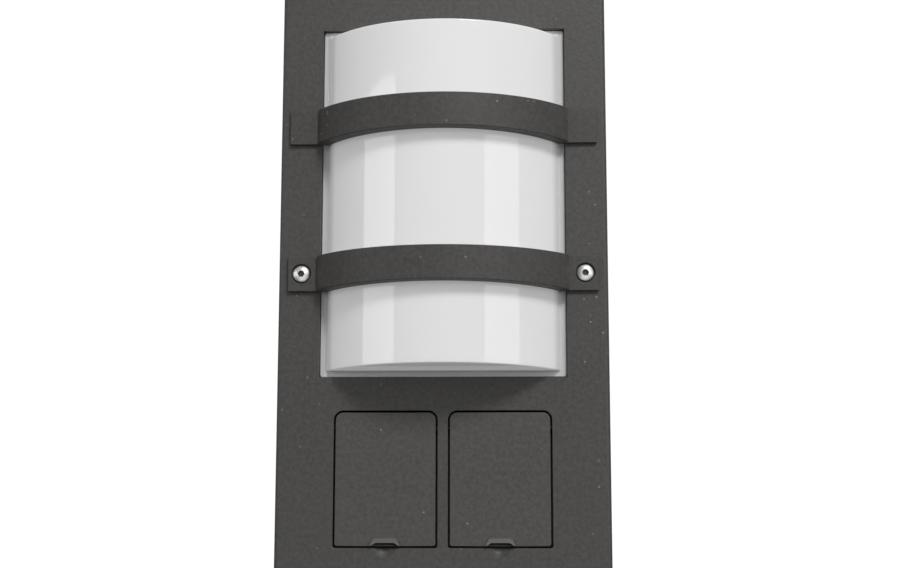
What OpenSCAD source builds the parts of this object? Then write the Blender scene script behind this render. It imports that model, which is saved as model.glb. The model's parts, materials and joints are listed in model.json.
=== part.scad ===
// Outdoor bollard light with two flap-covered power outlets, in millimetres.
// Origin: centre of the base plate's underside. +Z is up and the lit face looks along -Y.
// In the notes below, depth means the distance behind the front face.

/* [Body] */
// Width of the column
body_w = 180; // [176:1:200]
// Depth of the column, front face to rear face
body_d = 110; // [106:1:130]
// Overall height, base plate and cap included
body_h = 1000; // [900:10:1200]
// Wall thickness of the column
wall = 4; // [3.5:0.1:5]
// Radius of the column's long outer edges
edge_r = 2.4; // [1:0.1:4]
// Thickness of the top cap
cap_t = 5; // [4:0.5:8]
// Thickness of the seal under the cap
cap_seal_t = 1; // [0.5:0.1:2]

/* [Base plate] */
// How far the base plate stands out around the column
base_flange = 30; // [26:1:45]
// Thickness of the base plate
base_t = 8; // [6:1:12]
// Distance from the plate's edges to the middle of an anchor hole
anchor_edge = 14; // [11:0.5:16]
// Radius of an anchor hole
anchor_r = 5.5; // [4.5:0.5:6.5]
// Radius of the cable hole through the grommet
entry_r = 8; // [6:0.5:12]

/* [Window] */
// Width of the front face at each side of the window
window_border = 22.85; // [22.5:0.05:24]
// Height of the window
window_h = 195; // [180:1:205]
// Distance from the top of the cap to the window
window_drop = 47.3; // [40:0.1:60]

/* [Diffuser] */
// How far the diffuser stands out in front of the face
dome_out = 32.2; // [29:0.1:35]
// Gap from the window's side edge to the diffuser's curve, where that meets the face
dome_side = 5.3; // [5:0.1:6.5]
// Wall thickness of the diffuser
dome_wall = 2.5; // [2:0.1:3]
// Gap from the window's top or bottom edge to the diffuser's body
dome_margin = 3.3; // [2.5:0.1:5]
// Draft of the diffuser's end faces, in degrees
dome_draft = 1.4; // [0.5:0.1:2]
// Depth of the diffuser's flange behind the face
flange_depth = 3; // [2.5:0.1:3.5]
// Thickness of the diffuser's flange
flange_t = 3; // [2.5:0.1:4]
// Thickness of the seal behind the flange
lens_seal_t = 2; // [1.5:0.1:3]

/* [Straps] */
// Height of a strap
strap_h = 19.5; // [16:0.1:24]
// Thickness of a strap
strap_t = 7.4; // [6:0.1:8]
// Gap between strap and diffuser
strap_gap = 0.8; // [0.5:0.1:1.5]
// Distance from the window's end to the nearer strap
strap_inset = 46.6; // [35:0.1:60]
// How far a strap's bar reaches past the window's side edge
strap_lap = 1.35; // [1:0.05:3]
// Thickness of a strap's pads
pad_t = 2.5; // [2:0.1:3.5]
// Distance from the column's edge to a pad
pad_inset = 5.3; // [4:0.1:6.5]
// Distance from the column's edge to the middle of a strap's screw
strap_screw_in = 12.6; // [12:0.1:13]

/* [Lids] */
// Width of a lid
lid_w = 53.9; // [53:0.1:55]
// Height of a lid
lid_h = 71; // [70:0.5:73]
// Thickness of a lid
lid_t = 4; // [3.8:0.1:4.2]
// Gap all round a lid
lid_gap = 1; // [0.9:0.1:1.2]
// Distance between the lids' centres
lid_pitch = 61.5; // [61.2:0.1:63]
// Distance from the window down to the lid openings
lid_drop = 18.2; // [18:0.1:24]
// Radius of a lid's upper corners
lid_top_r = 4; // [3:0.1:5]
// Radius of a lid's lower corners
lid_low_r = 1.3; // [1:0.1:2]
// Distance from a lid's top edge to its hinge
hinge_drop = 8; // [7.5:0.1:8.2]
// Depth of the hinge axis
hinge_depth = 3.5; // [3.4:0.1:3.6]
// Radius of a hinge pin
pin_r = 1; // [0.9:0.05:1.05]

/* [Finger lip] */
// Width of the lip's foot
lip_w = 16.2; // [14:0.1:18]
// Width of the lip's top
lip_top_w = 13; // [10:0.5:15]
// Height of the lip
lip_h = 4.8; // [4:0.1:6]
// How far the lip stands out
lip_out = 2.4; // [1.5:0.1:3]
// Height of the arch that the lip's foot leaves for a fingertip
lip_arch_h = 1.6; // [1:0.1:2]
// Radius of the finger scoop in the face
scoop_r = 6.1; // [5:0.1:7]
// Depth of the finger scoop
scoop_t = 2.5; // [1.5:0.1:3]

/* [Sockets] */
// Side of a socket's square flange
socket_w = 50; // [48:0.5:51]
// Radius of the plug well
well_r = 19.5; // [19:0.1:20]
// Depth of the plug well
well_t = 17.5; // [15:0.5:19]
// Distance between the two plug pins
pin_pitch = 19; // [18:0.5:20]
// Inner radius of a contact sleeve
contact_r = 2.5; // [2.45:0.01:2.6]
// Length of a contact sleeve
contact_len = 14.5; // [12:0.5:18]
// Height of a socket's centre above the lid's lower edge
socket_rise = 29.5; // [28.5:0.1:30.5]
// Thickness of the seal that a lid closes on
lid_seal_t = 2.5; // [2:0.1:3]

/* [Lamp] */
// Radius of the lamp's globe
bulb_r = 30; // [25:0.5:32]
// Height from the holder's seat to the top of the lamp
bulb_top = 120; // [110:1:130]
// Depth of the lamp's axis
lamp_depth = 27; // [26:0.5:30]
// Depth of the lamp tray's back
tray_depth = 68; // [66:1:72]
// Sheet thickness of the lamp tray
sheet = 1.5; // [1:0.1:2]

/* [Service cover] */
// Width of the rear cover
cover_w = 120; // [115:1:130]
// Height of the rear cover
cover_h = 180; // [170:1:200]
// Thickness of the rear cover
cover_t = 2; // [1.5:0.1:3]
// Height of the cover's centre
cover_z = 170; // [160:1:200]

/* [Hidden] */
$fn = 64;

// Colours as seen on the real object
anthracite = [0.27, 0.265, 0.26];
opal = [0.93, 0.93, 0.93];
white_paint = [0.9, 0.9, 0.88];
stainless = [0.75, 0.75, 0.76];
black_steel = [0.12, 0.12, 0.125];
zinc = [0.62, 0.63, 0.65];
black_plastic = [0.08, 0.08, 0.085];
dark_rubber = [0.05, 0.05, 0.05];
grey_rubber = [0.35, 0.35, 0.36];
brass_yellow = [0.78, 0.62, 0.3];
porcelain = [0.92, 0.91, 0.87];
terminal_grey = [0.82, 0.82, 0.78];
lead_grey = [0.3, 0.31, 0.32];

// Clearances and cutting allowance
cut = 1;
thread_clear = 0.05;
hole_clear = 0.25;
window_clear = 0.3;
seat_clear = 0.65;
fit_clear = 0.2;
pin_clear = 0.06;
groove_clear = 0.03;
trough_clear = 0.4;
lead_clear = 0.1;
shell_clear = 0.1;
tip_gap = 0.3;
seal_inset = 0.5;

// Screw sizes: radius of the thread
m3 = 1.5;
m4 = 2;
m5 = 2.5;
m6 = 3;

// Screw heads and nuts, in shares of the thread's radius
head_wide = 1.9;
head_high = 1.3;
button_wide = 2;
button_high = 1.1;

// How far a through screw stands out behind its wall
screw_out = 3;

// Width of the window, and heights of the main features
window_w = body_w - 2*window_border;
column_top = body_h - cap_t - cap_seal_t;
window_top = body_h - window_drop;
window_low = window_top - window_h;
window_mid = window_top - window_h/2;
opening_top = window_low - lid_drop;
lid_top = opening_top - lid_gap;
lid_low = lid_top - lid_h;
opening_low = lid_low - lid_gap;
opening_mid = (opening_top + opening_low)/2;
opening_w = lid_w + 2*lid_gap;
opening_h = lid_h + 2*lid_gap;
hinge_z = lid_top - hinge_drop;
socket_z = lid_low + socket_rise;
lid_x = lid_pitch/2;

// Base plate and its anchors
base_r = 10;
base_w = body_w + 2*base_flange;
base_l = body_d + 2*base_flange;
anchor_x = base_w - 2*anchor_edge;
anchor_y = base_l - 2*anchor_edge;

// Screw ports that run the whole length of the column
port_r = 5.5;
port_bore = m5 + thread_clear;
port_bury = 0.5;
port_face = 27;
port_grip = 16;
port_x = body_w/2 - wall - port_r + port_bury;
port_y = body_d/2 - port_face;

// Skirt that locates the cap inside the column
skirt_t = 2;
skirt_h = 6;
skirt_port_gap = 1;
skirt_wall_gap = 0.5;

// Diffuser and straps share one centre line for their curves
dome_half = window_w/2 - dome_side;
dome_r = (dome_half*dome_half + dome_out*dome_out)/(2*dome_out);
arc_depth = dome_r - dome_out;
strap_r = dome_r + strap_gap + strap_t;
flange_back = flange_depth + flange_t;
flange_w = window_w - 2*window_clear;
flange_h = window_h - 2*window_clear;
flange_r = 1.3;
dome_h = window_h - 2*dome_margin;
dome_end_t = dome_wall + 1;
tray_seat = flange_back + lens_seal_t;
strap_foot = window_w/2 + strap_lap;
pad_end = body_w/2 - pad_inset;
strap_screw_x = body_w/2 - strap_screw_in;
upper_strap_z = window_top - strap_inset - strap_h;
lower_strap_z = window_low + strap_inset;
strap_draft = 1;
strap_lug = 1.4;
strap_lug_x = flange_w/2 - strap_lug;
strap_lug_in = 1;
spigot_r = 3.4;
head_recess_r = 5.35;
head_recess_t = 1.5;
button_r = 4.6;
button_h = 2.6;
washer_r = 5;
washer_t = 1;

// Lamp tray: flange behind the face, seat for the diffuser, pan behind it
tray_flank = 4;
tray_border = 9.5;
tray_flange_w = window_w + 2*tray_flank;
tray_flange_h = window_h + 2*tray_border;
tray_seat_w = window_w + 2*seat_clear;
tray_seat_h = window_h + 2*seat_clear;
pan_side = 12.15;
pan_w = window_w - 2*pan_side;
pan_margin = 10;
pan_h = window_h - 2*pan_margin;
pan_r = 1;
tray_screw_x = 45;
tray_screw_rise = 5.6;
gasket_in = 2;
face_skin = 1.2;
blind_t = wall - face_skin;

// Lead to the lamp, and the grommet that guides it through the tray
lamp_lead_r = 2.5;
tray_hole_r = lamp_lead_r + 2;
tray_lip_r = lamp_lead_r + 4;

// Lamp holder and lamp, measured up from the holder's seat
shelf_t = 2;
shelf_w = 46;
shelf_rise = 16;
shelf_front = 1;
shelf_back_h = 30;
bracket_screw_rise = 20;
lead_room = 0.7;
pan_floor_z = window_mid - pan_h/2;
shelf_z = pan_floor_z + shelf_rise;
holder_seat = shelf_z + shelf_t;
holder_r = 20.5;
holder_h = 40;
holder_cavity = 14.1;
holder_floor = 8;
holder_blind = 2;
holder_screw_x = 14;
shell_t = 0.5;
shell_r = holder_cavity - shell_clear;
shell_floor = 1;
shell_h = 30;
cap_r = 13.2;
cap_foot = 10.5;
cap_end = 38;
tip_r = 5;
neck_r = 12.8;
neck_end = 44;
bulb_mid = bulb_top - bulb_r;
shoulder_drop = 12.6;
shoulder_step = 0.4;
glass_t = 1.2;

// Lids and hinges
knuckle_r = 2.6;
knuckle_in = 8;
knuckle_gap = 0.4;
knuckle_out = lid_w/2 - knuckle_gap;
spring_bay = 7.5;
bay_room = 2;
lid_skin = 1.6;
pin_reach = 2.5;
pin_half = opening_w/2 + pin_reach;
tail_reach = sqrt(hinge_drop*hinge_drop + hinge_depth*hinge_depth);
trough_head = 0.5;
trough_depth = hinge_depth + tail_reach + trough_clear;
trough_low = hinge_z - hinge_drop/2 - trough_clear;
trough_top = opening_top + trough_head;
lip_arch_w = 14.6;
lip_arch_top = 9.8;
lip_corner = 1.2;
lip_root = 1;
lip_front = lip_h*0.3;
lip_bend = lip_h*0.75;
lip_bend_out = lip_out*0.6;
scoop_rise = 0.15;
scoop_ball = (scoop_r*scoop_r + scoop_t*scoop_t)/(2*scoop_t);

// Closing springs: round wire on a coil, with a straight leg at each end
wire_r = 0.25;
coil_r = pin_r + wire_r + fit_clear;
coil_pitch = 0.97;
coil_turns = 7;
coil_rings = 8;
wire_sides = 6;
lid_leg = 6;
carrier_leg = hinge_z - trough_low;

// Socket carrier and sockets
seal_depth = lid_t + lid_seal_t;
carrier_flank = 10;
carrier_foot = 9;
carrier_head = 8;
carrier_w = lid_pitch + opening_w + 2*carrier_flank;
carrier_low = opening_low - carrier_foot;
carrier_top = opening_top + carrier_head;
carrier_mid = (carrier_low + carrier_top)/2;
carrier_h = carrier_top - carrier_low;
socket_flange_t = 2.5;
carrier_floor = 2.5;
moulding_r = 4;
carrier_back = seal_depth + socket_flange_t + carrier_floor;
trough_wall = 2;
carrier_screw_in = 3.9;
carrier_screw_edge = 4.5;
carrier_screw_x = carrier_w/2 - carrier_screw_in;
carrier_screw_z = carrier_h/2 - carrier_screw_edge;
cup_wall = 2.3;
cup_r = well_r + cup_wall;
well_floor = seal_depth + well_t;
floor_t = 3.5;
chamber_depth = well_floor + floor_t;
chamber_end = chamber_depth + contact_len;
chamber_w = 42;
chamber_wall = 2;
back_t = 2;
socket_back_end = chamber_end + back_t;
pin_hole_clear = 0.15;
sleeve_t = 1.1;
pin_hole_r = contact_r + pin_hole_clear;
sleeve_r = contact_r + sleeve_t;
contact_block = 9;
contact_block_r = 1;
back_lip = 1.5;
insert_screw_in = 3.7;
insert_screw = socket_w/2 - insert_screw_in;
guide_rib = 2.2;
guide_rib_h = 5;
clip_w = 8;
clip_t = 0.8;
clip_in = 2.2;
clip_drop = 2;
clip_top = seal_depth + clip_drop;
seal_side = 2;
seal_end = 1.5;
seal_rim = 3;
seal_w = socket_w + 2*seal_side;
seal_h = socket_w + 2*seal_end;
seal_hole = socket_w - 2*seal_rim;
seal_hole_r = 6;

// Terminal parts behind the service cover
cover_seal_t = 1;
cover_r = 10;
cover_screw_in = 5;
cover_lap = 10;
service_w = cover_w - 2*cover_lap;
service_h = cover_h - 2*cover_lap;
bracket_half = 45;
bracket_t = 2;
bracket_depth = 66;
bracket_h = 230;
bracket_arch = 24;
bracket_arch_h = 70;
foot_l = 24;
foot_blind = 1;
foot_screw_x = 35;
foot_screw_depth = bracket_depth - foot_l/2 - bracket_t;
block_w = 80;
block_h = 24;
block_l = 28;
block_z = cover_z - block_h/2;
block_ways = 5;
way_r = 3;
way_drop = 8.4;
stud_x = -36;
stud_z = 125;
stud_len = 18;
nut_h = 5;

// Leads inside the column
lead_depth = 84;
lead_gap = 0.15;
lamp_bend = 12;
lamp_lead_z = shelf_z - lamp_bend - lead_gap;
socket_lead_r = 3.2;
socket_bend = 16;
link_r = 2.5;
link_bend = 8;
link_x = 22;
link_stub = 3;
link_depth = socket_back_end + link_bend + link_stub;
grommet_r = 18;
grommet_lip = 4;
grommet_lip_t = 2;
grommet_foot = 1;

// Depth to Y
function fy(d) = -body_d/2 + d;

// Rectangle with round corners, centred
module rounded(w, h, r) {
    square([w - 2*r, h], center = true);
    square([w, h - 2*r], center = true);
    for (sx = [-1, 1], sy = [-1, 1]) translate([sx*(w/2 - r), sy*(h/2 - r)]) circle(r);
}

// Lid outline: upper and lower corners differ
module lid_outline(w, h, r_top, r_low) {
    translate([-w/2 + r_top, h/2 - r_top]) square([w - 2*r_top, r_top]);
    translate([-w/2 + r_low, -h/2]) square([w - 2*r_low, r_low]);
    translate([-w/2, -h/2 + r_low]) square([w, h - r_top - r_low]);
    for (s = [-1, 1]) {
        translate([s*(w/2 - r_top), h/2 - r_top]) circle(r_top);
        translate([s*(w/2 - r_low), -h/2 + r_low]) circle(r_low);
    }
}

// Upright plate from depth d0 to d1, with round corners
module slab(w, h, r, d0, d1, x, z) {
    translate([x, fy(d1), z]) rotate([90, 0, 0]) linear_extrude(d1 - d0) rounded(w, h, r);
}

// Sharp-cornered block from depth d0 to d1
module block(x0, x1, d0, d1, z0, z1) {
    translate([x0, fy(d0), z0]) cube([x1 - x0, d1 - d0, z1 - z0]);
}

// Rod or bore along the depth
module rod_y(r, d0, d1, x, z) {
    translate([x, fy(d1), z]) rotate([90, 0, 0]) cylinder(r = r, h = d1 - d0);
}

// Rod or bore across the width
module rod_x(r, x0, x1, d, z) {
    translate([x0, fy(d), z]) rotate([0, 90, 0]) cylinder(r = r, h = x1 - x0);
}

module at_ports() {
    for (sx = [-1, 1], sy = [-1, 1]) translate([sx*port_x, sy*port_y, 0]) children();
}

// Facing forwards or backwards from depth d, with local +Z pointing out of the screw's head
module facing(side, d, x, z) {
    translate([x, fy(d), z]) rotate([-side*90, 0, 0]) children();
}

// Pan head screw, seat of the head at zero
module pan_screw(r, length) {
    head_r = head_wide*r;
    head_h = head_high*r;
    socket_r = 0.75*r;
    difference() {
        union() {
            cylinder(r = head_r, h = head_h);
            translate([0, 0, -length]) cylinder(r = r, h = length + head_h/2);
        }
        translate([0, 0, head_h/2]) cylinder(r = socket_r, h = head_h, $fn = 6);
    }
}

// Domed button head screw with a short straight rim and a hexagon socket
module button_screw(r, head_r, head_h, length) {
    dome = 0.62*head_h;
    ball = (head_r*head_r + dome*dome)/(2*dome);
    socket_r = 0.76*r;
    socket_floor = 0.4*head_h;
    difference() {
        union() {
            intersection() {
                cylinder(r = head_r, h = head_h);
                translate([0, 0, head_h - ball]) sphere(ball);
            }
            translate([0, 0, -length]) cylinder(r = r, h = length + head_h/2);
        }
        translate([0, 0, socket_floor]) cylinder(r = socket_r, h = head_h, $fn = 6);
    }
}

// Countersunk screw, flat top at zero
module flush_screw(r, length) {
    socket_r = 0.7*r;
    difference() {
        union() {
            translate([0, 0, -r]) cylinder(r1 = r, r2 = 2*r, h = r);
            translate([0, 0, -length]) cylinder(r = r, h = length - r/2);
        }
        translate([0, 0, -r/2]) cylinder(r = socket_r, h = r, $fn = 6);
    }
}

module flush_hole(r, depth) {
    translate([0, 0, -r]) cylinder(r1 = r + hole_clear, r2 = 2*r + hole_clear, h = r);
    cylinder(r = 2*r + hole_clear, h = cut);
    translate([0, 0, -depth - cut]) cylinder(r = r + hole_clear, h = depth + cut - r/2);
}

// Column: one long tube with screw ports, cut for the window, the lids and the rear cover
module column() {
    color(anthracite) difference() {
        union() {
            translate([0, 0, base_t]) linear_extrude(column_top - base_t) difference() {
                union() {
                    difference() {
                        rounded(body_w, body_d, edge_r);
                        square([body_w - 2*wall, body_d - 2*wall], center = true);
                    }
                    at_ports() circle(port_r);
                }
                at_ports() circle(port_bore);
            }
        }
        block(-window_w/2, window_w/2, -cut, wall + cut, window_low, window_top);
        for (s = [-1, 1]) {
            lid_opening(s);
            strap_holes(s);
            blind_holes(s);
        }
        slab(service_w, service_h, cover_r/2, body_d - wall - cut, body_d + cut, 0, cover_z);
        at_cover_screws() rod_y(m4 + thread_clear, body_d - wall - cut, body_d + cut, 0, 0);
    }
}

module lid_opening(s) {
    translate([s*lid_x, fy(wall + cut), opening_mid]) rotate([90, 0, 0]) linear_extrude(wall + 2*cut)
        lid_outline(opening_w, opening_h, lid_top_r + lid_gap, lid_low_r);
    rod_x(pin_r + groove_clear, s*lid_x - pin_half - groove_clear, s*lid_x + pin_half + groove_clear,
        hinge_depth, hinge_z);
    block(s*lid_x - pin_half - groove_clear, s*lid_x + pin_half + groove_clear, hinge_depth, wall + cut,
        hinge_z - pin_r - groove_clear, hinge_z + pin_r + groove_clear);
    translate([s*lid_x, fy(scoop_t - scoop_ball), lid_low + scoop_rise]) sphere(scoop_ball);
}

module strap_holes(s) {
    rod_y(spigot_r + hole_clear, -cut, wall + cut, s*strap_screw_x, upper_strap_z + strap_h/2);
    rod_y(m5 + thread_clear, -cut, wall + cut, s*strap_screw_x, lower_strap_z + strap_h/2);
}

module blind_holes(s) {
    for (t = [-1, 1]) {
        rod_y(m3 + thread_clear, face_skin, wall + cut, s*tray_screw_x,
            window_mid + t*(window_h/2 + tray_screw_rise));
        rod_y(m4 + thread_clear, face_skin, wall + cut, s*carrier_screw_x,
            carrier_mid + t*carrier_screw_z);
    }
}

module at_cover_screws() {
    for (sx = [-1, 1], sz = [-1, 1])
        translate([sx*(cover_w/2 - cover_screw_in), 0, cover_z + sz*(cover_h/2 - cover_screw_in)])
            children();
}

// Base plate with anchor holes, cable hole and countersunk holes for the column's screws
module base_plate() {
    color(anthracite) difference() {
        linear_extrude(base_t) rounded(base_w, base_l, base_r);
        for (sx = [-1, 1], sy = [-1, 1]) translate([sx*anchor_x/2, sy*anchor_y/2, -cut])
            cylinder(r = anchor_r, h = base_t + 2*cut);
        translate([0, 0, -cut]) cylinder(r = grommet_r + fit_clear, h = base_t + 2*cut);
        at_ports() mirror([0, 0, 1]) flush_hole(m5, base_t);
        for (s = [-1, 1]) translate([s*foot_screw_x, fy(foot_screw_depth), foot_blind])
            cylinder(r = m5 + thread_clear, h = base_t);
    }
}

module base_screws() {
    color(stainless) at_ports() mirror([0, 0, 1]) flush_screw(m5, base_t + port_grip);
}

module cable_grommet() {
    color(dark_rubber) difference() {
        union() {
            translate([0, 0, grommet_foot]) cylinder(r = grommet_r, h = base_t - grommet_foot);
            translate([0, 0, base_t]) cylinder(r = grommet_r + grommet_lip, h = grommet_lip_t);
        }
        cylinder(r = entry_r, h = base_t + grommet_lip_t + cut);
    }
}

// Top cap with a locating skirt inside the column
module top_cap() {
    skirt_w = 2*(port_x - port_r - skirt_port_gap);
    skirt_l = body_d - 2*(wall + skirt_wall_gap);
    color(anthracite) difference() {
        union() {
            translate([0, 0, body_h - cap_t]) linear_extrude(cap_t) rounded(body_w, body_d, edge_r);
            translate([0, 0, column_top - skirt_h]) linear_extrude(skirt_h + cap_seal_t + cut)
                difference() {
                    rounded(skirt_w, skirt_l, skirt_t);
                    rounded(skirt_w - 2*skirt_t, skirt_l - 2*skirt_t, skirt_t/2);
                }
        }
        translate([0, 0, body_h]) at_ports() flush_hole(m5, cap_t);
    }
}

module top_cap_gasket() {
    color(dark_rubber) translate([0, 0, column_top]) linear_extrude(cap_seal_t) difference() {
        union() {
            difference() {
                rounded(body_w - 2*seal_inset, body_d - 2*seal_inset, edge_r - seal_inset);
                square([body_w - 2*wall, body_d - 2*wall], center = true);
            }
            at_ports() circle(port_r);
        }
        at_ports() circle(m5 + hole_clear);
    }
}

module top_cap_screws() {
    color(stainless) translate([0, 0, body_h]) at_ports() flush_screw(m5, cap_t + port_grip);
}

// Rear cover over the terminals
module service_cover() {
    color(anthracite) difference() {
        slab(cover_w, cover_h, cover_r, body_d + cover_seal_t, body_d + cover_seal_t + cover_t, 0,
            cover_z);
        at_cover_screws() rod_y(m4 + hole_clear, body_d, body_d + cover_seal_t + cover_t + cut, 0, 0);
    }
}

module service_cover_gasket() {
    color(dark_rubber) difference() {
        slab(cover_w - 2*seal_inset, cover_h - 2*seal_inset, cover_r - seal_inset, body_d,
            body_d + cover_seal_t, 0, cover_z);
        slab(service_w, service_h, cover_r/2, body_d - cut, body_d + cover_seal_t + cut, 0, cover_z);
        at_cover_screws() rod_y(m4 + hole_clear, body_d - cut, body_d + cover_seal_t + cut, 0, 0);
    }
}

module service_cover_screws() {
    color(stainless) at_cover_screws() facing(1, body_d + cover_seal_t + cover_t, 0, 0)
        button_screw(m4, button_wide*m4, button_high*m4, cover_seal_t + cover_t + wall);
}

// Lamp tray: white pan that seats the diffuser and reflects the light
module lamp_tray() {
    color(white_paint) difference() {
        union() {
            slab(tray_flange_w, tray_flange_h, sheet, wall, wall + sheet, 0, window_mid);
            slab(tray_seat_w + 2*sheet, tray_seat_h + 2*sheet, sheet, wall, tray_seat + sheet, 0,
                window_mid);
            slab(pan_w + 2*sheet, pan_h + 2*sheet, pan_r + sheet, tray_seat, tray_depth, 0, window_mid);
        }
        slab(tray_seat_w, tray_seat_h, sheet/2, wall - cut, tray_seat, 0, window_mid);
        slab(pan_w, pan_h, pan_r, tray_seat - cut, tray_depth - sheet, 0, window_mid);
        for (s = [-1, 1], t = [-1, 1]) rod_y(m3 + hole_clear, wall - cut, wall + sheet + cut,
            s*tray_screw_x, window_mid + t*(window_h/2 + tray_screw_rise));
        rod_y(tray_hole_r, tray_depth - sheet - cut, tray_depth + cut, 0, lamp_lead_z);
        at_bracket_screws() rod_y(m4 + thread_clear, tray_depth - sheet - cut, tray_depth + cut, 0, 0);
    }
}

module at_bracket_screws() {
    for (s = [-1, 1]) translate([s*shelf_w/4, 0, holder_seat + bracket_screw_rise]) children();
}

module lamp_tray_screws() {
    color(zinc) for (s = [-1, 1], t = [-1, 1])
        facing(1, wall + sheet, s*tray_screw_x, window_mid + t*(window_h/2 + tray_screw_rise))
            pan_screw(m3, sheet + blind_t - tip_gap);
}

module tray_grommet() {
    color(grey_rubber) difference() {
        union() {
            rod_y(tray_hole_r - lead_clear, tray_depth - sheet, tray_depth, 0, lamp_lead_z);
            rod_y(tray_lip_r, tray_depth, tray_depth + sheet, 0, lamp_lead_z);
        }
        rod_y(lamp_lead_r + lead_clear, tray_depth - sheet - cut, tray_depth + sheet + cut, 0,
            lamp_lead_z);
    }
}

// Soft ring between the diffuser's flange and the tray's seat
module diffuser_gasket() {
    color(grey_rubber) difference() {
        slab(flange_w, flange_h, sheet, flange_back, tray_seat, 0, window_mid);
        slab(pan_w + 2*gasket_in, pan_h + 2*gasket_in, pan_r, flange_back - cut, tray_seat + cut, 0,
            window_mid);
    }
}

// Sector of the diffuser's curve, from the front to the depth at which it ends
module dome_sector(r, h, end_depth) {
    translate([0, 0, window_mid - h/2]) linear_extrude(h) intersection() {
        translate([0, fy(arc_depth)]) circle(r, $fn = 180);
        translate([-window_w/2, fy(-2*dome_out)]) square([window_w, 2*dome_out + end_depth]);
    }
}

// Wedges that give a long piece drafted ends at heights z0 and z1, about depth d
module drafted(angle, d, z0, z1) {
    reach = 2*strap_r;
    difference() {
        children();
        translate([-reach/2, fy(d), z1]) rotate([angle, 0, 0]) translate([0, -reach, 0])
            cube([reach, reach, dome_r]);
        translate([-reach/2, fy(d), z0]) rotate([-angle, 0, 0]) translate([0, -reach, -dome_r])
            cube([reach, reach, dome_r]);
    }
}

// Opal diffuser: curved front, flat ends and a flange that sits in the window
module diffuser() {
    color(opal) difference() {
        union() {
            slab(flange_w, flange_h, flange_r, flange_depth, flange_back, 0, window_mid);
            drafted(dome_draft, flange_depth, window_mid - dome_h/2, window_mid + dome_h/2)
                dome_sector(dome_r, dome_h, flange_back - flange_t/2);
        }
        dome_sector(dome_r - dome_wall, dome_h - 2*dome_end_t, flange_back + cut);
    }
}

// Strap: curved bar, two pads on the face and two lugs that press on the diffuser's flange
module strap(z) {
    drafted(strap_draft, 0, z, z + strap_h) translate([0, 0, z]) linear_extrude(strap_h) intersection() {
        difference() {
            translate([0, fy(arc_depth)]) circle(strap_r, $fn = 180);
            translate([0, fy(arc_depth)]) circle(strap_r - strap_t, $fn = 180);
        }
        translate([-strap_foot, fy(-2*dome_out)]) square([2*strap_foot, 2*dome_out]);
    }
    for (s = [-1, 1]) scale([s, 1, 1]) {
        block(window_w/2 + window_clear, pad_end, -pad_t, 0, z, z + strap_h);
        block(strap_lug_x, flange_w/2, -pad_t/2, flange_depth, z + strap_lug_in,
            z + strap_h - strap_lug_in);
    }
}

module upper_strap() {
    z = upper_strap_z + strap_h/2;
    color(anthracite) difference() {
        union() {
            strap(upper_strap_z);
            for (s = [-1, 1]) rod_y(spigot_r, -pad_t/2, wall - tip_gap, s*strap_screw_x, z);
        }
        for (s = [-1, 1]) rod_y(m4 + thread_clear, -pad_t/2, wall + cut, s*strap_screw_x, z);
    }
}

module upper_strap_screws() {
    z = upper_strap_z + strap_h/2;
    color(zinc) for (s = [-1, 1]) facing(1, wall + washer_t, s*strap_screw_x, z) {
        pan_screw(m4, wall + washer_t + pad_t/2 - tip_gap);
        translate([0, 0, -washer_t]) cylinder(r = washer_r, h = washer_t);
    }
}

module lower_strap() {
    z = lower_strap_z + strap_h/2;
    color(anthracite) difference() {
        strap(lower_strap_z);
        for (s = [-1, 1]) {
            rod_y(head_recess_r, -pad_t - cut, -pad_t + head_recess_t, s*strap_screw_x, z);
            rod_y(m5 + hole_clear, -pad_t - cut, cut, s*strap_screw_x, z);
        }
    }
}

module lower_strap_screws() {
    color(stainless) for (s = [-1, 1])
        facing(-1, -pad_t + head_recess_t, s*strap_screw_x, lower_strap_z + strap_h/2)
            button_screw(m5, button_r, button_h, pad_t - head_recess_t + wall + screw_out);
}

// Shelf that carries the lamp holder, screwed to the tray's back
module lampholder_bracket() {
    color(zinc) difference() {
        union() {
            block(-shelf_w/2, shelf_w/2, lamp_depth - holder_r - shelf_front, tray_depth - sheet,
                shelf_z, holder_seat);
            block(-shelf_w/2, shelf_w/2, tray_depth - sheet - shelf_t, tray_depth - sheet, shelf_z,
                holder_seat + shelf_back_h);
        }
        translate([0, fy(lamp_depth), shelf_z - cut])
            cylinder(r = lamp_lead_r + lead_room, h = shelf_t + 2*cut);
        for (s = [-1, 1]) translate([s*holder_screw_x, fy(lamp_depth), shelf_z - cut])
            cylinder(r = m3 + hole_clear, h = shelf_t + 2*cut);
        at_bracket_screws() rod_y(m4 + hole_clear, tray_depth - sheet - shelf_t - cut, tray_depth, 0, 0);
    }
}

module lampholder_bracket_screws() {
    color(zinc) at_bracket_screws() facing(-1, tray_depth - sheet - shelf_t, 0, 0)
        pan_screw(m4, shelf_t + sheet + screw_out);
}

// Porcelain screw holder
module lampholder() {
    color(porcelain) translate([0, fy(lamp_depth), holder_seat]) difference() {
        cylinder(r = holder_r, h = holder_h);
        translate([0, 0, holder_floor]) cylinder(r = holder_cavity, h = holder_h);
        for (s = [-1, 1]) translate([s*holder_screw_x, 0, -cut])
            cylinder(r = m3 + thread_clear, h = holder_floor - holder_blind + cut);
    }
}

module lampholder_screws() {
    color(zinc) for (s = [-1, 1]) translate([s*holder_screw_x, fy(lamp_depth), shelf_z])
        mirror([0, 0, 1]) pan_screw(m3, shelf_t + holder_floor - holder_blind - tip_gap);
}

module lampholder_shell() {
    color(brass_yellow) translate([0, fy(lamp_depth), holder_seat + holder_floor]) difference() {
        cylinder(r = shell_r, h = shell_h);
        translate([0, 0, shell_floor]) cylinder(r = shell_r - shell_t, h = shell_h);
    }
}

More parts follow.
